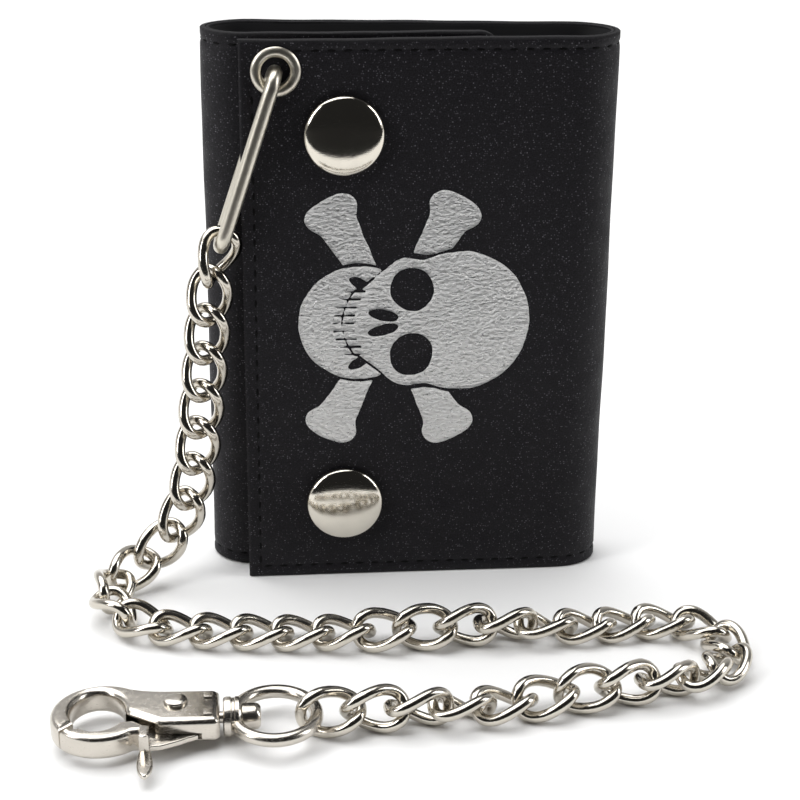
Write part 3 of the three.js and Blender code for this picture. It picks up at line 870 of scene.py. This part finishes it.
def skull_and_bones(u, v):
    """A plain skull lying on its side over crossed bones: negative where there is foil.

    u runs from the jaw on the left to the crown on the right, and v upwards.
    """
    cranium = ellipse_field(u, v, 6.8, 0, 13.4, 14.0)
    brow = ellipse_field(u, v, -3.4, 0, 7.6, 12.9)
    cheeks = ellipse_field(u, v, -9.0, 0, 5.6, 8.2)
    skull = rounded_union(rounded_union(cranium, brow, 2.0), cheeks, 2.0)
    jaw = ellipse_field(u, v, -12.6, 0, 11.6, 11.4)
    jaw = np.maximum(jaw, u + 8.2)
    face = np.minimum(skull, jaw)
    bent = u - 0.055 * v**2
    upper_teeth = np.maximum(np.abs(bent + 14.2) - 1.5, np.abs(v) - 6.4)
    skull = rounded_union(skull, upper_teeth, 0.6)
    tooth_gap = 0.17 - np.abs((v + 0.8) % 1.6 - 0.8)
    tooth_gap = np.minimum(tooth_gap, np.minimum(2.1 - np.abs(bent + 15.6), 6.5 - np.abs(v)))
    for side in (-1, 1):
        jaw = np.maximum(jaw, -ellipse_field(u, v, -12.6, side * 8.0, 2.3, 1.0, side * -0.5))
    jaw = np.maximum(jaw, 0.32 - skull)
    for side in (-1, 1):
        skull = np.maximum(skull, -ellipse_field(u, v, -2.5, side * 6.6, 4.1, 4.4, side * 0.35))
        skull = np.maximum(skull, -ellipse_field(u, v, -8.0, side * 1.5, 2.9, 1.15, side * -0.2))
    head = np.maximum(np.minimum(skull, jaw), tooth_gap)
    middle = (-6.5, 0.5)
    bones = np.full_like(u, 99.0)
    for end in ((-17.3, 20.9), (4.9, 21.2), (-17.5, -20.0), (4.2, -20.6)):
        reach = np.array(end) - middle
        reach /= np.linalg.norm(reach)
        across = np.array([-reach[1], reach[0]])
        shaft = bar_field(u, v, middle, end, 2.2, 4.1)
        for lobe in (-1, 1):
            knob = np.array(end) + reach * 1.3 + across * lobe * 2.7
            shaft = rounded_union(shaft, ellipse_field(u, v, knob[0], knob[1], 2.5, 2.3), 1.4)
        bones = np.minimum(bones, shaft)
    bones = np.maximum(bones, 0.6 - face)
    return np.minimum(head, bones) + 0.12 * ripple(u * 9, v * 9, 6.0)


def filled_outline(field, us, vs):
    """Polygons that fill the part of a grid where the field is negative, cut at its edge."""
    points, index, faces = [], {}, []

    def corner(i, j):
        key = (i, j)
        if key not in index:
            index[key] = len(points)
            points.append((us[i], vs[j]))
        return index[key]

    def crossing(i, j, k, m):
        key = (min((i, j), (k, m)), max((i, j), (k, m)))
        if key not in index:
            a, b = field[i, j], field[k, m]
            t = min(max(a / (a - b), 0.04), 0.96)
            index[key] = len(points)
            points.append((us[i] + (us[k] - us[i]) * t, vs[j] + (vs[m] - vs[j]) * t))
        return index[key]

    inside = field < 0
    touched = inside[:-1, :-1] | inside[1:, :-1] | inside[1:, 1:] | inside[:-1, 1:]
    for i, j in zip(*np.nonzero(touched)):
        ring = [(i, j), (i + 1, j), (i + 1, j + 1), (i, j + 1)]
        face = []
        for a, b in zip(ring, ring[1:] + ring[:1]):
            if inside[a]:
                face.append(corner(*a))
            if inside[a] != inside[b]:
                face.append(crossing(*a, *b))
        if len(face) > 2:
            faces.append(tuple(face))
    return np.array(points), faces


def add_foil(material):
    """The print as a thin closed sheet that follows the leather, crinkled and proud at its rim."""
    us = np.arange(-26, 22, PRINT_STEP)
    vs = np.arange(-29, 29, PRINT_STEP)
    u, v = np.meshgrid(us, vs, indexing="ij")
    flat, faces = filled_outline(skull_and_bones(u, v), us, vs)
    x, z = flat[:, 0], flat[:, 1] + PRINT_MIDDLE_Z
    to_rim = np.maximum(-skull_and_bones(x, flat[:, 1]), 0)
    leather = LEAF / 2 + relief(x - FLAP_LEFT, z)
    crinkle = ripple(x * 17, flat[:, 1] * 31, 2.0) * ripple(x * 23, flat[:, 1] * 12, 7.0)
    stand = FOIL_LIFT + 0.05 * crinkle * np.clip(to_rim, 0, 1) + dent(to_rim, 0.2, 0.07)
    front = np.stack([x, -leather - stand, z], -1)
    back = np.stack([x, -leather + FOIL_DEPTH, z], -1)
    count = len(flat)
    edges = {pair for face in faces for pair in zip(face, face[1:] + face[:1])}
    solid = faces + [tuple(count + k for k in reversed(face)) for face in faces]
    solid += [(b, a, a + count, b + count) for a, b in sorted(edges) if (b, a) not in edges]
    foil = mesh_object("foil_print", np.vstack([front, back]), solid, [material], None, 50)
    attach(foil, "front_flap")


# ---- hardware on the flap
def add_turned(name, profile, center, axis, metal, body, nodes, steps=64):
    """A turned piece that rides on a body and stands for CAD nodes."""
    points, faces = lathe(profile, center, axis, steps)
    piece = mesh_object(name, points, faces, [metal], None, ROUND_CREASE)
    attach(piece, body)
    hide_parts(*nodes)


def shifted(start, profile):
    """A turned profile moved along its axis."""
    return [(radius, start + distance) for radius, distance in profile]


def add_snaps(metal):
    """Two snaps: a domed cap on the flap, its socket behind, and its stud on the inner panel."""
    base = LEAF / 2 + 0.12
    rim = base + 0.42
    rise = -cap_low[1] - rim
    edge = CAP_RADIUS - 0.03
    for name, (x, z) in zip(("upper", "lower"), CAPS):
        center = (x, 0, z)
        profile = [(1.5, 0), *shifted(base, [
            (1.5, 0), (CAP_RADIUS - 0.45, 0), (CAP_RADIUS - 0.1, 0.1), (CAP_RADIUS, 0.28),
        ])]
        for turn in np.linspace(0, math.pi / 2, 19):
            profile.append((edge * math.cos(turn), rim + rise * math.sin(turn) ** 0.95))
        add_turned("snap_cap_dome_" + name, profile, center, (0, -1, 0), metal, "front_flap",
                   ["snap_cap_" + name])
        add_socket_and_stud(name, center, metal)


def add_socket_and_stud(name, center, metal):
    """A pressed ring with a deep rim, and a mushroom post with a broad foot."""
    low, high = corners("snap_socket_" + name)
    front, back = low[1], high[1]
    outer = (high[0] - low[0]) / 2
    socket = shifted(front, [(0, 0), (outer - 0.2, 0), (outer, 0.3), (outer - 0.1, 0.9)])
    socket += shifted(front, [(outer - 0.8, 1.2), (4.5, 1.25)])
    socket += shifted(back, [(3.9, -0.15), (3.4, 0), (3.0, -0.05), (2.75, -0.3)])
    socket += shifted(front, [(2.75, 0.5), (0, 0.5)])
    add_turned("snap_socket_ring_" + name, socket, center, (0, 1, 0), metal, "front_flap",
               ["snap_socket_" + name])
    low, high = corners("snap_stud_" + name)
    stud = shifted(low[1], [
        (0, 0), (1.5, 0), (2.1, 0.15), (2.3, 0.5), (2.0, 1.0), (2.3, 1.3), (5.0, 1.35),
        (5.2, 1.5), (5.1, 1.7), (4.8, 1.74), (1.5, 1.74),
    ])
    stud += shifted(high[1], [(1.5, -0.44), (3.4, -0.44), (3.7, -0.3), (3.5, 0), (0, 0)])
    add_turned("snap_stud_post_" + name, stud, center, (0, 1, 0), metal, "inner_panel",
               ["snap_stud_" + name])


def add_eyelet(metal):
    """A bore with a rolled flange on both faces of the flap."""
    center = (EYELET_X, 0, EYELET_Z)
    flange = (eyelet_high[0] - eyelet_low[0]) / 2
    top = -eyelet_low[1]
    foot = LEAF / 2 + 0.02
    rolled = []
    for i in range(13):
        t = i / 12
        radius = EYELET_HOLE + (flange - EYELET_HOLE) * t
        bulge = math.sin(math.pi * t) ** 0.75 if 0 < t < 1 else 0
        rolled.append((radius, foot + (top - LEAF / 2) * bulge))
    rolled.append((EYELET_HOLE + 0.5, foot))
    profile = rolled + [(radius, -height) for radius, height in rolled[::-1]]
    profile.append(profile[0])
    add_turned("eyelet_rolled", profile[::-1], center, (0, -1, 0), metal, "front_flap",
               ["eyelet"])


# ---- chain
def placed(points, center, axes):
    """Points from a piece's own frame to the shared frame."""
    return np.asarray(points) @ np.asarray(axes) + center


LOOP_WIRE_SHARE = 0.97          # the visible wire is a hair thinner than its CAD solid


def add_loop(metal):
    """The long oval loop of wire that hangs in the eyelet."""
    center, axes, half = principal_frame("chain_loop")
    wire = half[2]
    bend = half[1] - wire
    straight = half[0] - wire - bend
    turn = np.linspace(-math.pi / 2, math.pi / 2, 21)
    side_run = np.linspace(-1, 1, 15)[1:-1]
    path = [(straight + bend * math.cos(a), bend * math.sin(a), 0) for a in turn]
    path += [(-straight * t, bend, 0) for t in side_run]
    path += [(-straight - bend * math.cos(a), -bend * math.sin(a), 0) for a in turn]
    path += [(straight * t, -bend, 0) for t in side_run]
    path = np.array(path)
    nearest = np.clip(path[:, 0], -straight, straight)
    outward = path - np.stack([nearest * 0.999, 0 * nearest, 0 * nearest], -1)
    points, faces = closed_wire(path, outward, wire * LOOP_WIRE_SHARE, 20)
    loop = mesh_object("loop_wire", placed(points, center, axes), faces, [metal])
    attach(loop, "chain_loop")
    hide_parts("chain_loop")


LINK_WIRE = 1.03                # radius
LINK_HALF_LENGTH = 5.2
LINK_HALF_WIDTH = 3.45
LINK_TWIST = math.pi / 4
LINK_FULLNESS = 0.8             # below 1 the oval is squarer


def curb_link():
    """Points and faces of one twisted curb link, with its middle at the origin."""
    t = np.linspace(0, 2 * math.pi, 56, endpoint=False)
    c, s = np.cos(t), np.sin(t)
    along = LINK_HALF_LENGTH * (np.sign(c) * np.abs(c) ** LINK_FULLNESS)
    across = LINK_HALF_WIDTH * (np.sign(s) * np.abs(s) ** LINK_FULLNESS)
    turn = -LINK_TWIST * along / LINK_HALF_LENGTH
    path = np.stack([along, across * np.cos(turn), across * np.sin(turn)], -1)
    return closed_wire(path, path, LINK_WIRE, 14)


def add_chain(metal):
    """The same link once for every link of the CAD chain, in its place."""
    points, faces = curb_link()
    for node in sorted(name for name in frame["nodes"] if name.startswith("chain_link_")):
        center, axes, _ = principal_frame(node)
        name = node.replace("chain_link", "curb_link")
        link = mesh_object(name, placed(points, center, axes), faces, [metal])
        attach(link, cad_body(node))
        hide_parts(node)


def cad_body(node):
    """The body that holds a CAD node."""
    bodies = frame["record"]["behaviour"]["bodies"]
    return next(name for name, nodes in bodies.items() if node in nodes)


# ---- clasp
# Outlines of the clasp are in its own frame: x runs towards the ring, y across, from CLASP.
RING_WIRE = 1.2
RING_HALF = (7.1, 7.9)          # half sizes of the eye's middle line
RIVET = (-24.1, 1.6)
RIVET_EYE = 1.9                 # radius of the lever's end round the rivet
EYE_X = -36.6                   # middle of the hook's round opening
EYE_OUTER = 8.7
EYE_INNER = (4.6, 6.1)
BORE_X = EYE_X - 0.7            # the opening sits a little off the middle of the hook
BORE_Y = 0.3
BODY_HALF = 2.3                 # half of the body's thickness
HEEL_REACH = 7.3                # how far the lever's heel stands from its rivet
HEEL_ROOM = 0.15
ring_low, ring_high = corners("clasp_ring")
ring_middle = (ring_low + ring_high) / 2
CLASP = np.array([ring_high[0] - RING_WIRE, ring_middle[1], ring_middle[2]])


def arc(cx, cy, rx, ry, start, end, steps=28):
    """Points along an ellipse, angles in half turns."""
    angle = np.linspace(start, end, steps) * math.pi
    return [(cx + rx * math.cos(a), cy + ry * math.sin(a)) for a in angle]


def bow(start, control, end, steps=8):
    """Points along a shallow curve that leans towards its control point."""
    start, control, end = np.array(start), np.array(control), np.array(end)
    t = np.linspace(0, 1, steps)[:, None]
    points = (1 - t) ** 2 * start + 2 * t * (1 - t) * control + t**2 * end
    return [tuple(p) for p in points]


def plate_curve(name, outline, low, high, bevel):
    """A flat outline with thickness and rounded rims, as a curve object."""
    curve = bpy.data.curves.new(name, "CURVE")
    curve.dimensions = "2D"
    curve.fill_mode = "BOTH"
    spline = curve.splines.new("POLY")
    spline.points.add(len(outline) - 1)
    for point, (x, y) in zip(spline.points, outline):
        point.co = (x * MM, y * MM, 0, 1)
    spline.use_cyclic_u = True
    curve.extrude = ((high - low) / 2 - bevel) * MM
    curve.bevel_depth = bevel * MM
    curve.bevel_resolution = 4
    curve.offset = -bevel * MM
    holder = bpy.data.objects.new(name + "_outline", curve)
    bpy.context.collection.objects.link(holder)
    bpy.context.view_layer.update()
    return holder


def cast_plate(name, outline, low, high, bevel, material):
    """A plate with rounded rims, from low to high above or below the middle of the clasp."""
    holder = plate_curve(name, outline, low, high, bevel)
    depsgraph = bpy.context.evaluated_depsgraph_get()
    mesh = bpy.data.meshes.new_from_object(holder.evaluated_get(depsgraph))
    bpy.data.objects.remove(holder)
    middle = Vector((CLASP[0], CLASP[1], CLASP[2] + (low + high) / 2))
    mesh.transform(Matrix.Translation(middle * MM))
    face_outwards(mesh, 2e-6)
    mesh.materials.clear()
    mesh.materials.append(material)
    mesh.shade_smooth()
    mesh.set_sharp_from_angle(angle=math.radians(ROUND_CREASE))
    thing = bpy.data.objects.new(name, mesh)
    bpy.context.collection.objects.link(thing)
    return thing


def joined(name, pieces):
    """Several meshes as one object."""
    first = pieces[0]
    with bpy.context.temp_override(
        active_object=first, selected_editable_objects=pieces, object=first,
    ):
        bpy.ops.object.join()
    first.name = name
    return first


def hook_outline():
    """The body's outline: its square end, the neck, and the hook round the opening."""
    outline = [(-17.4, -4.4), (-16.6, -3.8), (-16.6, 5.0), (-17.5, 5.8)]
    outline += bow((-26, 6.1), (-29.5, 6.4), (-31.5, 7.2))
    outline += arc(EYE_X, 0, EYE_OUTER, EYE_OUTER, 0.31, 1.212, 40)
    outline += arc(BORE_X, BORE_Y, *EYE_INNER, 1.18, 0.02, 44)
    outline += bow((-32.2, -0.4), (-30.6, -1.6), (-26.5, -4.2))
    return outline


def add_clasp_body(metal):
    """The cast body, cut out for the lever, with two small lugs at its square end."""
    body = cast_plate("clasp_hook", hook_outline(), -BODY_HALF, BODY_HALF, 1.15, metal)
    room = HEEL_REACH + HEEL_ROOM
    inner_wall = [(-20.4, 3.6), (-30.4, 3.6), (-33.6, -1.2), (-33.6, -9)]
    lever_slot = [(-19.7, -9), *arc(*RIVET, room, room, -0.3, -0.165, 8), *inner_wall]
    apply_boolean(body, cast_plate("lever_slot_cutter", lever_slot, -1.5, -0.3, 0.05, metal))
    gate_room = [(-27.4, -9), (-27.4, -3.1), (-20.9, -3.1), (-20.9, 3.6), *inner_wall[1:]]
    apply_boolean(body, cast_plate("gate_room_cutter", gate_room, -0.4, 1.4, 0.05, metal))
    pieces = [body]
    left, right = -19.3, -17.8
    for i, (near, far) in enumerate([(-2.9, -1.2), (2.6, 4.3)]):
        lug = [(left, near), (right, near), (right, far), (left, far)]
        pieces.append(cast_plate(f"lug_{i}", lug, BODY_HALF - 0.3, BODY_HALF + 0.35, 0.15, metal))
    body = joined("clasp_hook", pieces)
    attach(body, "clasp_body")
    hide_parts("clasp_body")


def add_gate_lever(metal):
    """One lever: the gate that closes the hook, an arm to the rivet, a heel and a thumb tab."""
    gate_outline = arc(EYE_X, 0, EYE_OUTER, EYE_OUTER, 1.225, 1.72, 26)
    gate_outline += [(-28.9, -6.6), (-28.6, -5.2), (-31.2, -3.0)]
    gate_outline += arc(BORE_X, BORE_Y, EYE_INNER[0] + 0.1, EYE_INNER[1], 1.8, 1.3, 20)
    gate = cast_plate("clasp_gate", gate_outline, -2.2, 2.2, 1.0, metal)
    arm_outline = [(-30.5, -6), (-24.6, -6.4), (-22.9, -4.6), (-22.1, 1.6)]
    arm_outline += [*arc(*RIVET, RIVET_EYE, RIVET_EYE, 0, 1, 14), (-30.6, -3.2)]
    arm = cast_plate("lever_arm", arm_outline, -1.25, -0.4, 0.15, metal)
    heel_outline = [(-29.4, -5.6), (-29.2, -7.8), *bow((-26.4, -7.5), (-24.0, -6.6), (-22.3, -5.6))]
    heel_outline += arc(*RIVET, HEEL_REACH, HEEL_REACH, -0.41, -0.325, 6)
    heel_outline += [(-21.2, -4.0), (-24, -4.0)]
    heel = cast_plate("lever_heel", heel_outline, -1.45, -0.4, 0.25, metal)
    ridge_outline = [(-30, -5.0), (-30, -8.3), (-29.2, -8.8), (-28.4, -8.3), (-28.4, -5.4)]
    ridge = cast_plate("lever_ridge", ridge_outline, -2.0, 2.3, 0.35, metal)
    leaf = [(-29.9, -6.5), *bow((-30.3, -10), (-30.6, -14.8), (-29.0, -15.6), 9)]
    leaf += [*bow((-28.6, -15.5), (-27.0, -13.7), (-28.0, -9), 9), (-28.4, -6.5)]
    tab = cast_plate("lever_tab", leaf, -1.9, -0.9, 0.4, metal)
    lever = joined("gate_lever", [gate, arm, heel, ridge, tab])
    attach(lever, "clasp_lever")
    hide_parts("clasp_lever")


def add_rivet(metal):
    """The lever's rivet, low below the body and with a flat-topped head above it."""
    top = BODY_HALF
    profile = [(0, -top - 0.75), (0.9, -top - 0.7), (1.6, -top - 0.4), (1.95, -top), (1.0, -top)]
    profile += [(1.0, top - 0.1), (2.05, top - 0.1), (2.05, top + 0.4), (1.9, top + 0.72)]
    profile += [(1.55, top + 0.92), (0.9, top + 1.0), (0, top + 1.02)]
    center = CLASP + np.array([*RIVET, 0])
    add_turned("rivet_dome", profile, center, (0, 0, 1), metal, "clasp_body", ["clasp_rivet"])


def add_swivel(metal):
    """The wire eye with its grooved collar, and the pin that turns in the collar."""
    angle = np.linspace(0, 2 * math.pi, 72, endpoint=False)
    along, across = RING_HALF
    flat = 0 * angle
    path = np.stack([along * (np.cos(angle) - 1), across * np.sin(angle), flat], -1)
    outward = np.stack([np.cos(angle) / along, np.sin(angle) / across, flat], -1)
    points, faces = closed_wire(path + CLASP, outward, RING_WIRE, 18)
    eye = mesh_object("swivel_eye", points, faces, [metal])
    collar = [(1.35, -16), (3.1, -16), (3.4, -15.8), (3.5, -15.4), (3.5, -14.7), (3.3, -14.5)]
    collar += [(3.3, -14.1), (3.5, -13.9), (3.5, -13.3), (3.3, -13.0), (1.35, -13.0), (1.35, -16)]
    points, faces = lathe(collar[::-1], CLASP, (1, 0, 0), 48)
    band = mesh_object("swivel_collar", points, faces, [metal], None, 30)
    ring = joined("swivel_eye", [eye, band])
    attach(ring, "clasp_ring")
    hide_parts("clasp_ring")

    pin = [(0, -20.2), (1.9, -20.2), (1.9, -19.4), (1.0, -19.3), (1.0, -12.9), (2.1, -12.9)]
    pin += [(2.3, -12.7), (2.3, -10.6), (2.15, -10.0), (1.7, -9.6), (0, -9.5)]
    add_turned("swivel_pin", pin, CLASP, (1, 0, 0), metal, "clasp_body", ["clasp_swivel"],
               40)


def add_lever_spring(steel):
    """A thin strip bent round the rivet, with a short leg against the lever."""
    x, y = RIVET
    strip = arc(x, y, RIVET_EYE, RIVET_EYE, 1.25, 2.9, 30)
    strip += [(x - 3.4, y - 1.4), (x - 2.9, y - 1.7)]
    strip += arc(x, y, RIVET_EYE - 0.5, RIVET_EYE - 0.5, 2.9, 1.25, 30)
    spring = cast_plate("lever_spring", strip, 0.5, 1.1, 0.08, steel)
    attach(spring, "clasp_body")
    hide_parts("clasp_spring")


# ---- everything together
add_camera()
add_studio()
lining = make_lining()
nickel = make_nickel("polished_nickel", (0.7, 0.66, 0.58), 0.06, 0.14, 0.05)
wire_nickel = make_nickel("nickel_wire", (0.62, 0.58, 0.51), 0.1, 0.22, 0.2)
satin_nickel = make_nickel("satin_nickel", (0.7, 0.66, 0.57), 0.28, 0.4, 0.15)
cast_nickel = make_nickel("cast_nickel", (0.62, 0.58, 0.52), 0.18, 0.3, 0.25)
spring_steel = make_nickel("spring_steel", (0.5, 0.49, 0.47), 0.3, 0.45, 0.1)
add_shell(make_leather(), make_edge_leather(), lining, make_thread_with_hole_shade())
add_pockets(lining)
add_foil(make_foil())
add_snaps(nickel)
add_eyelet(satin_nickel)
add_loop(satin_nickel)
add_chain(wire_nickel)
add_clasp_body(cast_nickel)
add_gate_lever(cast_nickel)
add_rivet(cast_nickel)
add_swivel(cast_nickel)
add_lever_spring(spring_steel)

bpy.context.scene.view_settings.view_transform = "Standard"
